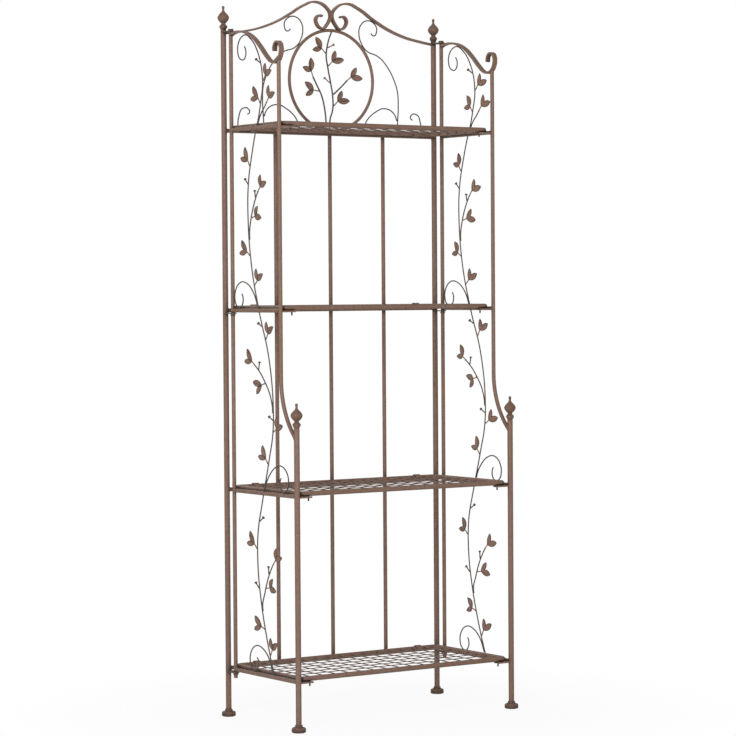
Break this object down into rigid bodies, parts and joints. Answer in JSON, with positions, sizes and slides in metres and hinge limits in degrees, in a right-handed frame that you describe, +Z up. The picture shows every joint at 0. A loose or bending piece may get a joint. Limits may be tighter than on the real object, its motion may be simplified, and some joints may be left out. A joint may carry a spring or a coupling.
{
  "type": "folding plant shelf",
  "caption": "Free-standing folding plant shelf of iron bar: back frame with a ring and scroll crest, hinged side panels with wire vines and sheet leaves, and lattice shelves that tip up",
  "frame": {"origin": "middle of the footprint on the floor, between the four feet", "axes": "+X to the right seen from the front, +Y to the back, +Z up"},
  "size_m": [0.679, 0.358, 1.8022],
  "materials": {
    "bar": "satin brown paint",
    "wire": "satin dark brown paint",
    "leaf": "satin brown paint",
    "casting": "satin brown paint on a casting",
    "fitting": "satin dark brown paint, rubbed",
    "lattice": "satin brown paint"
  },
  "bodies": {
    "back_frame": {"back_post_left": "bar", "back_post_right": "bar", "back_finials": "casting", "back_feet": "casting", "back_rail_1": "bar", "back_rail_2": "bar", "back_rail_3": "bar", "back_rail_4": "bar", "back_rods": "bar", "crest_bar_left": "bar", "crest_bar_right": "bar", "crest_ring": "bar", "crest_spray_stems": "wire", "crest_spray_leaves": "leaf", "crest_wires_left": "wire", "crest_wires_right": "wire", "hinge_plates_left": "fitting", "hinge_plates_right": "fitting", "shelf_eyes": "fitting"},
    "left_panel": {"left_hinge_rod": "bar", "left_hinge_collars": "fitting", "left_front_post": "bar", "left_finial": "casting", "left_foot": "casting", "left_top_bar": "bar", "left_front_rod": "bar", "left_rungs": "bar", "left_lugs": "fitting", "left_vine_stem": "wire", "left_vine_scrolls": "wire", "left_vine_leaves": "leaf", "left_vine_buds": "wire"},
    "right_panel": {"right_hinge_rod": "bar", "right_hinge_collars": "fitting", "right_front_post": "bar", "right_finial": "casting", "right_foot": "casting", "right_top_bar": "bar", "right_front_rod": "bar", "right_rungs": "bar", "right_lugs": "fitting", "right_vine_stem": "wire", "right_vine_scrolls": "wire", "right_vine_leaves": "leaf", "right_vine_buds": "wire"},
    "shelf_1": {"shelf_1_frame": "bar", "shelf_1_lattice": "lattice", "shelf_1_pegs": "fitting"},
    "shelf_2": {"shelf_2_frame": "bar", "shelf_2_lattice": "lattice", "shelf_2_pegs": "fitting"},
    "shelf_3": {"shelf_3_frame": "bar", "shelf_3_lattice": "lattice", "shelf_3_pegs": "fitting"},
    "shelf_4": {"shelf_4_frame": "bar", "shelf_4_lattice": "lattice", "shelf_4_pegs": "fitting"}
  },
  "joints": [
    {"name": "shelf_1_hinge", "type": "hinge", "parent": "back_frame", "child": "shelf_1", "pos_m": [0, 0.1455, 1.471], "axis": [-1, 0, 0], "range_deg": [0, 88]},
    {"name": "shelf_2_hinge", "type": "hinge", "parent": "back_frame", "child": "shelf_2", "pos_m": [0, 0.1455, 1.023], "axis": [-1, 0, 0], "range_deg": [0, 88]},
    {"name": "shelf_3_hinge", "type": "hinge", "parent": "back_frame", "child": "shelf_3", "pos_m": [0, 0.1455, 0.575], "axis": [-1, 0, 0], "range_deg": [0, 88]},
    {"name": "shelf_4_hinge", "type": "hinge", "parent": "back_frame", "child": "shelf_4", "pos_m": [0, 0.1455, 0.127], "axis": [-1, 0, 0], "range_deg": [0, 88]},
    {"name": "left_panel_hinge", "type": "hinge", "parent": "back_frame", "child": "left_panel", "pos_m": [-0.322, 0.1265, 0.9], "axis": [0, 0, -1], "range_deg": [0, 90]},
    {"name": "right_panel_hinge", "type": "hinge", "parent": "back_frame", "child": "right_panel", "pos_m": [0.322, 0.1265, 0.9], "axis": [0, 0, 1], "range_deg": [0, 90]}
  ]
}
